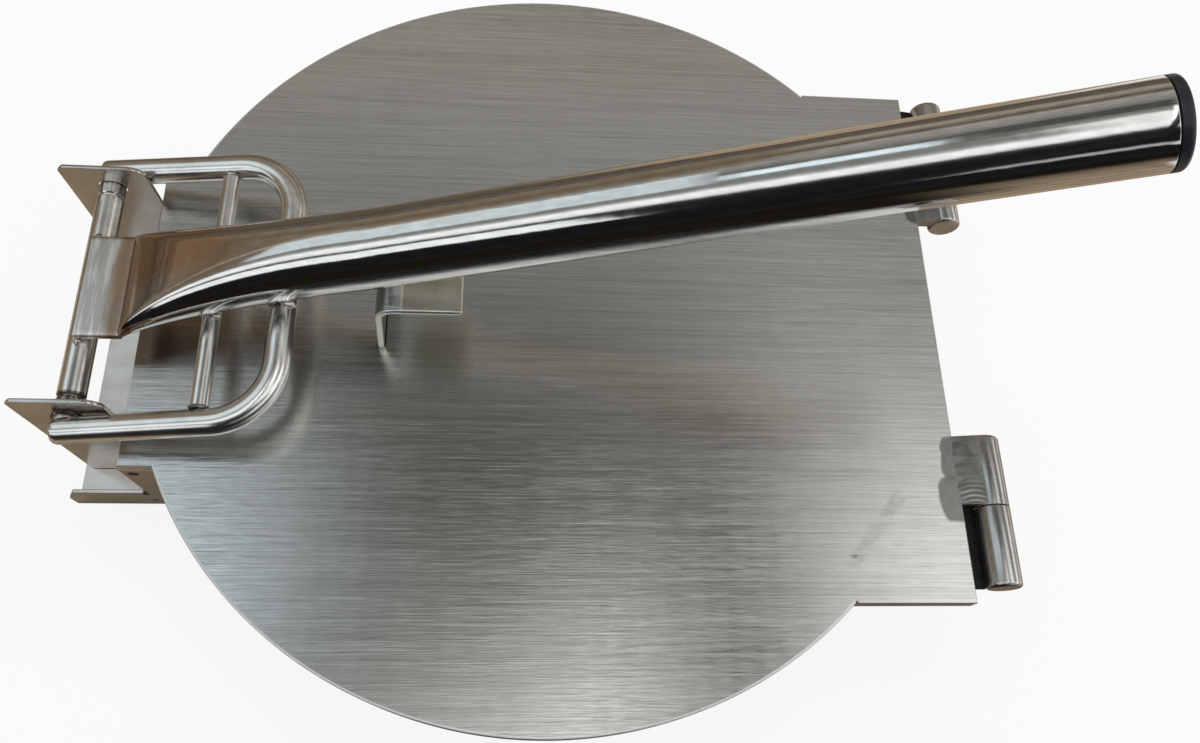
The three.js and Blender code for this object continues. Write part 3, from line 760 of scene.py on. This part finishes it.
# The pivot shaft: a 9.5 mm bar through both cheeks, turned down at its ends where it runs in the cheeks, so
# that a dark groove shows beside each. It is satin polished and stained brown by the welding.
place, close = finish_of("satin_rod")
x, y, z = place.split()
rubbing = noise(place, (420, 420, 420), 3)
stain = noise(place, (55, 90, 55), 4)
rod_colour = (rubbing * 0.2 + stain * 0.8).step(0.26, 0.62).mix((0.70, 0.68, 0.65), (0.88, 0.875, 0.86))
collar = y.band(-46.2 * mm, -38.8 * mm, 0.6 * mm) * x.step(-157 * mm, -160 * mm)
rod_colour = (collar * 0.8).mix(rod_colour, (0.16, 0.13, 0.105))
rod_rough = 0.17 + rubbing * 0.04 + stain * 0.06
rod_finish = close(rod_colour, rod_rough, rubbing * 0.12 + stain * 0.55, 0.00004)

shaft_low, shaft_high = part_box("pivot_shaft")
rod_radius = (shaft_high.z - shaft_low.z) / 2
shaft_x = (shaft_low.x + shaft_high.x) / 2
shaft_z = (shaft_low.z + shaft_high.z) / 2
groove_y = 39.6 * mm
groove_width = 0.8 * mm
groove_radius = rod_radius - 1.0 * mm
end_radius = rod_radius - 0.15 * mm
groove_end = groove_y + groove_width
half_shaft = [
    (groove_y - 0.35 * mm, rod_radius),
    (groove_y - 0.05 * mm, rod_radius - 0.25 * mm),
    (groove_y, groove_radius),
    (groove_end, groove_radius),
    (groove_end + 0.05 * mm, end_radius - 0.30 * mm),
    (groove_end + 0.40 * mm, end_radius),
    (shaft_high.y - 0.4 * mm, end_radius),
    (shaft_high.y, end_radius - 0.40 * mm),
]
stations = [(-at, radius) for at, radius in half_shaft[::-1]] + half_shaft
piece(lathe_along_y("shaft", stations, shaft_x, shaft_z), rod_finish, "lever", "satin_rod", "pivot_shaft")


# The bail and the crossbar: a 9.5 mm rod bent round two corners, its arms beside the cheeks and its cross
# part under the handle, with a 6.4 mm rod welded between its arms.
arm_clear = 0.55 * mm
arm_draw_in = 0.9 * mm
arm_tail = 4 * mm
bail_reach = 71.8 * mm
bail_bend = 21.5 * mm
cheek_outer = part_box("cheek_back")[1].y
arm_y = cheek_outer + arm_clear + rod_radius
bail_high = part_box("bail")[1]
bail_angle = math.asin((bail_high.z - rod_radius - shaft_z) / bail_reach)


def swept(name, path, radius, around=28):
    """A round rod along a path of points: circles square to the path, sharing one fixed side direction."""
    ahead = np.gradient(path, axis=0)
    ahead /= np.linalg.norm(ahead, axis=1)[:, None]
    normal = np.array([-math.sin(bail_angle), 0.0, math.cos(bail_angle)])
    side = np.cross(ahead, normal)
    side /= np.linalg.norm(side, axis=1)[:, None]
    up = np.cross(side, ahead)
    turns = np.linspace(0, 2 * math.pi, around, endpoint=False)
    circles = side[:, None, :] * np.cos(turns)[:, None] + up[:, None, :] * np.sin(turns)[:, None]
    return skin(name, path[:, None, :] + radius[:, None, None] * circles)


def bail_line():
    """From one arm's tail along the arm, round the bend and to the middle, mirrored for the other half."""
    draw = math.atan2(arm_draw_in, bail_reach - bail_bend)
    centre_u = bail_reach - bail_bend
    centre_y = arm_y - arm_draw_in - bail_bend
    turns = np.linspace(draw, math.pi / 2, 26)
    bend_u = centre_u + bail_bend * np.sin(turns)
    bend_y = centre_y + bail_bend * np.cos(turns)
    arm_u = np.linspace(-arm_tail, bend_u[0], 40)[:-1]
    arm_side = bend_y[0] + (bend_u[0] - arm_u) * math.tan(draw)
    cross_y = np.linspace(centre_y, 0, 20)[1:]
    u = np.concatenate([arm_u, bend_u, np.full(19, bail_reach)])
    side = np.concatenate([arm_side, bend_y, cross_y])
    u = np.concatenate([u, u[-2::-1]])
    side = np.concatenate([side, -side[-2::-1]])
    return np.stack([shaft_x + u * math.cos(bail_angle), side, shaft_z + u * math.sin(bail_angle)], axis=-1)


# Both ends are rounded over 1.5 mm: four circles that grow to the rod's full radius
path = bail_line()
end_round = rod_radius * np.array([0.55, 0.80, 0.94, 1.0])
end_steps = np.array([0.0, 0.25, 0.7, 1.5])[:, None] * mm
first = path[0] + (path[1] - path[0]) / np.linalg.norm(path[1] - path[0]) * end_steps
last = path[-1] + (path[-2] - path[-1]) / np.linalg.norm(path[-2] - path[-1]) * end_steps
path = np.concatenate([first, path[2:-2], last[::-1]])
radius = np.concatenate([end_round, np.full(len(path) - 8, rod_radius), end_round[::-1]])
piece(swept("bail_rod", path, radius), rod_finish, "lever", "satin_rod", "bail", crease=60)

cross_low, cross_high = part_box("crossbar")
cross_radius = (cross_high.z - cross_low.z) / 2
cross_x = (cross_low.x + cross_high.x) / 2
cross_z = (cross_low.z + cross_high.z) / 2
cross_edge = 0.4 * mm
stations = [
    (cross_low.y, cross_radius * 0.9),
    (cross_low.y + cross_edge, cross_radius),
    (cross_high.y - cross_edge, cross_radius),
    (cross_high.y, cross_radius * 0.9),
]
cross_rod = lathe_along_y("cross_rod", stations, cross_x, cross_z, 40)
piece(cross_rod, rod_finish, "lever", "satin_rod", "crossbar")


# The weld beads of the lever: along the tip's end on the shaft, between the shaft's ends and the arms, and
# where the bail and the crossbar touch the handle. They are bright where wiped and brown in the hollows.
place, close = finish_of("lever_weld")
puddle = noise(place, (420, 420, 420), 3)
scorch = noise(place, (260, 260, 260), 4)
weld_colour = scorch.step(0.38, 0.66).mix((0.20, 0.165, 0.135), (0.78, 0.76, 0.73))
weld_finish = close(weld_colour, 0.16 + puddle * 0.22, puddle, 0.00025)


def weld_bead(name, path, radius, seed, around=24):
    """A bead along a path: circles square to it whose radius swells and shrinks along and round the bead by
    sums of sines, closing toward both ends."""
    ahead = np.gradient(path, axis=0)
    ahead /= np.linalg.norm(ahead, axis=1)[:, None]
    guide = np.array([0.31, 0.0, 0.95]) if abs(ahead[:, 1]).mean() > 0.5 else np.array([0.0, 1.0, 0.12])
    side = np.cross(ahead, guide)
    side /= np.linalg.norm(side, axis=1)[:, None]
    up = np.cross(side, ahead)
    turns = np.linspace(0, 2 * math.pi, around, endpoint=False)
    run = np.concatenate([[0], np.cumsum(np.linalg.norm(np.diff(path, axis=0), axis=1))])
    close_in = np.sqrt(np.clip(np.minimum(run, run[-1] - run) / (radius * 1.1), 0.02, 1))
    waves = 1 + 0.12 * np.sin(run / radius * 2.9 + seed) + 0.10 * np.sin(run / radius * 1.3 + seed * 2.1)
    lumps = 1 + 0.07 * np.sin(3 * turns[None, :] + run[:, None] / radius * 1.7 + seed)
    size = radius * (close_in * waves)[:, None] * lumps
    rings = path[:, None, :] + size[:, :, None] * (
        side[:, None, :] * np.cos(turns)[:, None] + up[:, None, :] * np.sin(turns)[:, None]
    )
    return skin(name, rings)


def arc_path(centre_x, centre_z, radius, start, stop, y, steps=40):
    """An arc round an axis along Y, its angle counted from +X up toward +Z."""
    turns = np.radians(np.linspace(start, stop, steps))
    x, z = centre_x + radius * np.cos(turns), centre_z + radius * np.sin(turns)
    return np.stack([x, np.full(steps, y), z], axis=-1)


def weld(name, path, radius, seed, body="lever", slot="satin_rod"):
    """A weld bead along a path, as a piece of the body that it rides on."""
    piece(weld_bead(name, path, radius, seed), weld_finish, body, slot, crease=80)


tip_y = np.linspace(-19.6, 19.4, 70) * mm
tip_path = np.stack([np.full(70, tip_low.x + 0.1 * mm), tip_y, np.full(70, tip_low.z - 0.1 * mm)], axis=-1)
weld("tip_weld", tip_path, 1.0 * mm, 0.4)
bail_top_x, bail_top_z = shaft_x + bail_reach * math.cos(bail_angle), bail_high.z - rod_radius
cheek_low, cheek_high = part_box("cheek_front")
foot_x = np.linspace(cheek_low.x + 2 * mm, cheek_high.x - 1.5 * mm, 50)
foot_inset, foot_rise = 2.1 * mm, 2.1 * mm
for name, sign in (("front", -1), ("back", 1)):
    corner = np.linspace(19.2, 22.4, 16)[:, None] * mm * np.array([0, sign, 0])
    corner = corner + (tip_low.x + 1.0 * mm, 0, tip_low.z - 0.3 * mm)
    weld("tip_corner_weld_" + name, corner, 1.5 * mm, 1.0 + sign)
    arm_end = arc_path(shaft_x, shaft_z, 4.1 * mm, 25, 170, sign * (cheek_outer + 1.75 * mm))
    weld("arm_weld_" + name, arm_end, 1.25 * mm, 2.0 + sign)
    over_bail = arc_path(bail_top_x, bail_top_z, 5.1 * mm, 20, 150, sign * 9.4 * mm)
    weld("bail_weld_" + name, over_bail, 1.2 * mm, 3.0 + sign)
    over_bar = arc_path(cross_x, cross_z, 3.5 * mm, 20, 150, sign * 12.4 * mm)
    weld("crossbar_weld_" + name, over_bar, 0.8 * mm, 4.0 + sign)
    round_bar = arc_path(cross_x, cross_z, 3.0 * mm, -100, 255, sign * (cross_high.y + 0.1 * mm), 60)
    weld("crossbar_end_weld_" + name, round_bar, 0.55 * mm, 5.0 + sign)
    foot = np.stack([foot_x, np.full(50, sign * (cheek_outer - foot_inset)), np.full(50, foot_rise)], axis=-1)
    weld("cheek_foot_weld_" + name, foot, 1.3 * mm, 6.0 + sign, "base", "polished_sheet")


# The bracket: a strip of sheet bent to an angle and welded upright on the upper plate. Its edges are
# rounded by hand, its bend shows hammer marks and its flange is tinted by the heat of the weld.
place, close = finish_of("bent_strip")
x, y, z = place.split()
cloud = noise(place, (90, 60, 60), 4)
dents = noise(place, (160, 520, 160), 2)
bend_marks_and_highlight = x.band(-58.6 * mm, -54.0 * mm, 1.2 * mm) * z.step(82 * mm, 86 * mm)
top_face = z.step(88.0 * mm, 88.8 * mm)
tint_zone = x.band(-52.0 * mm, -42.5 * mm, 4 * mm) * top_face
strip_colour = cloud.step(0.3, 0.75).mix((0.80, 0.79, 0.70), (0.92, 0.91, 0.82))
strip_colour = (tint_zone * cloud.step(0.30, 0.60) * 0.8).mix(strip_colour, (0.72, 0.58, 0.58))
# A dark line is painted across the flange's top face, along the end of the tint
flange_dark_line = (x + (dents - 0.5) * (3 * mm)).band(-43.8 * mm, -42.4 * mm, 1.0 * mm)
flange_dark_line = flange_dark_line * cloud.step(0.36, 0.52) * top_face
strip_colour = (flange_dark_line * 0.75).mix(strip_colour, (0.10, 0.09, 0.09))
# The bend's outside is painted a pale blue-white highlight, over its ground and hammered metal
strip_colour = (bend_marks_and_highlight * 0.9).mix(strip_colour, (0.93, 0.98, 1.0))
# The leg's faces, but for its front edge, are painted dark as painted shade
leg_painted_shade = x.step(-58.8 * mm, -60.0 * mm) * y.step(-14.6 * mm, -14.0 * mm)
strip_colour = (leg_painted_shade * 0.8).mix(strip_colour, (0.16, 0.15, 0.14))
strip_rough = 0.32 + cloud * 0.12 - bend_marks_and_highlight * 0.03
strip_relief = dents * (0.06 + bend_marks_and_highlight * 1.1) + cloud * 0.10
strip_finish = close(strip_colour, strip_rough, strip_relief, 0.00030)
strip_thickness = 2.4 * mm
strip_bend = 7.6 * mm
strip_lean = 1.8 * mm
burr_height = 0.6 * mm
strip_low, strip_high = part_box("bracket")


def strip_line():
    """The middle of the sheet from its foot up the leaning leg, round the bend and out along the flange."""
    mid_bend = strip_bend - strip_thickness / 2
    centre_x = strip_low.x + strip_lean + strip_bend
    centre_z = strip_high.z - strip_bend
    foot = np.array([strip_low.x + strip_thickness / 2, strip_low.z])
    shoulder = np.array([centre_x - mid_bend, centre_z])
    leg = foot + (shoulder - foot) * np.linspace(0, 1, 20)[:-1, None]
    turns = np.linspace(math.pi, math.pi / 2, 16)
    bend = np.stack([centre_x + mid_bend * np.cos(turns), centre_z + mid_bend * np.sin(turns)], axis=1)
    flange_x = np.linspace(centre_x, strip_high.x, 24)[1:]
    flange = np.stack([flange_x, np.full(23, centre_z + mid_bend)], axis=1)
    return np.concatenate([leg, bend, flange])


def strip_rings(line, shrink):
    """A rounded rectangle, as wide as the strip and as thick as the sheet, square to the line. The front
    corner of the flange is turned up by a burr, a bell of two distances."""
    corner = 0.9 * mm
    half_wide = strip_high.y - corner
    half_thick = strip_thickness / 2 - corner
    turns = np.linspace(0, math.pi / 2, 6)
    quarter = np.stack([corner * np.cos(turns), corner * np.sin(turns)], axis=1)
    one = quarter + (half_wide, half_thick)
    two = quarter[::-1] * (-1, 1) + (-half_wide, half_thick)
    section = np.concatenate([one, two, -one, -two])
    ahead = np.gradient(line, axis=0)
    ahead /= np.linalg.norm(ahead, axis=1)[:, None]
    normal = np.stack([-ahead[:, 1], ahead[:, 0]], axis=1)
    half_size = np.array([strip_high.y, strip_thickness / 2])
    section = section[None, :, :] * (1 - shrink[:, None, None] / half_size)
    strip_x = line[:, 0, None] + normal[:, 0, None] * section[:, :, 1]
    strip_y = section[:, :, 0]
    from_end = (strip_x - strip_high.x) / (1.5 * mm)
    from_side = (strip_y - strip_low.y) / (1.2 * mm)
    burr = burr_height * np.exp(-from_end ** 2 - from_side ** 2)
    strip_z = line[:, 1, None] + normal[:, 1, None] * section[:, :, 1] + burr
    return np.stack([strip_x, strip_y, strip_z], axis=-1)


line = strip_line()
shrink = np.zeros(len(line))
shrink[0] = 0.25 * mm
shrink[-1] = 0.45 * mm
line[-2] = line[-1] - (0.5 * mm, 0)
piece(skin("finger_bracket", strip_rings(line, shrink)), strip_finish, "top", "polished_sheet", "bracket")
# The welds at the bracket's foot are burnt, and painted near black for the shade at the foot
foot_y = np.linspace(-14.4, 14.4, 60)[:, None] * mm * np.array([0, 1, 0])
for name, foot_x in (("left", strip_low.x - 0.1 * mm), ("right", strip_low.x + strip_thickness + 0.1 * mm)):
    foot = foot_y + (foot_x, 0, plate_high.z + 0.15 * mm)
    bead = weld_bead("bracket_weld_" + name, foot, 0.35 * mm, 7.0)
    piece(bead, burnt_and_shaded_finish, "top", "polished_sheet", crease=80)
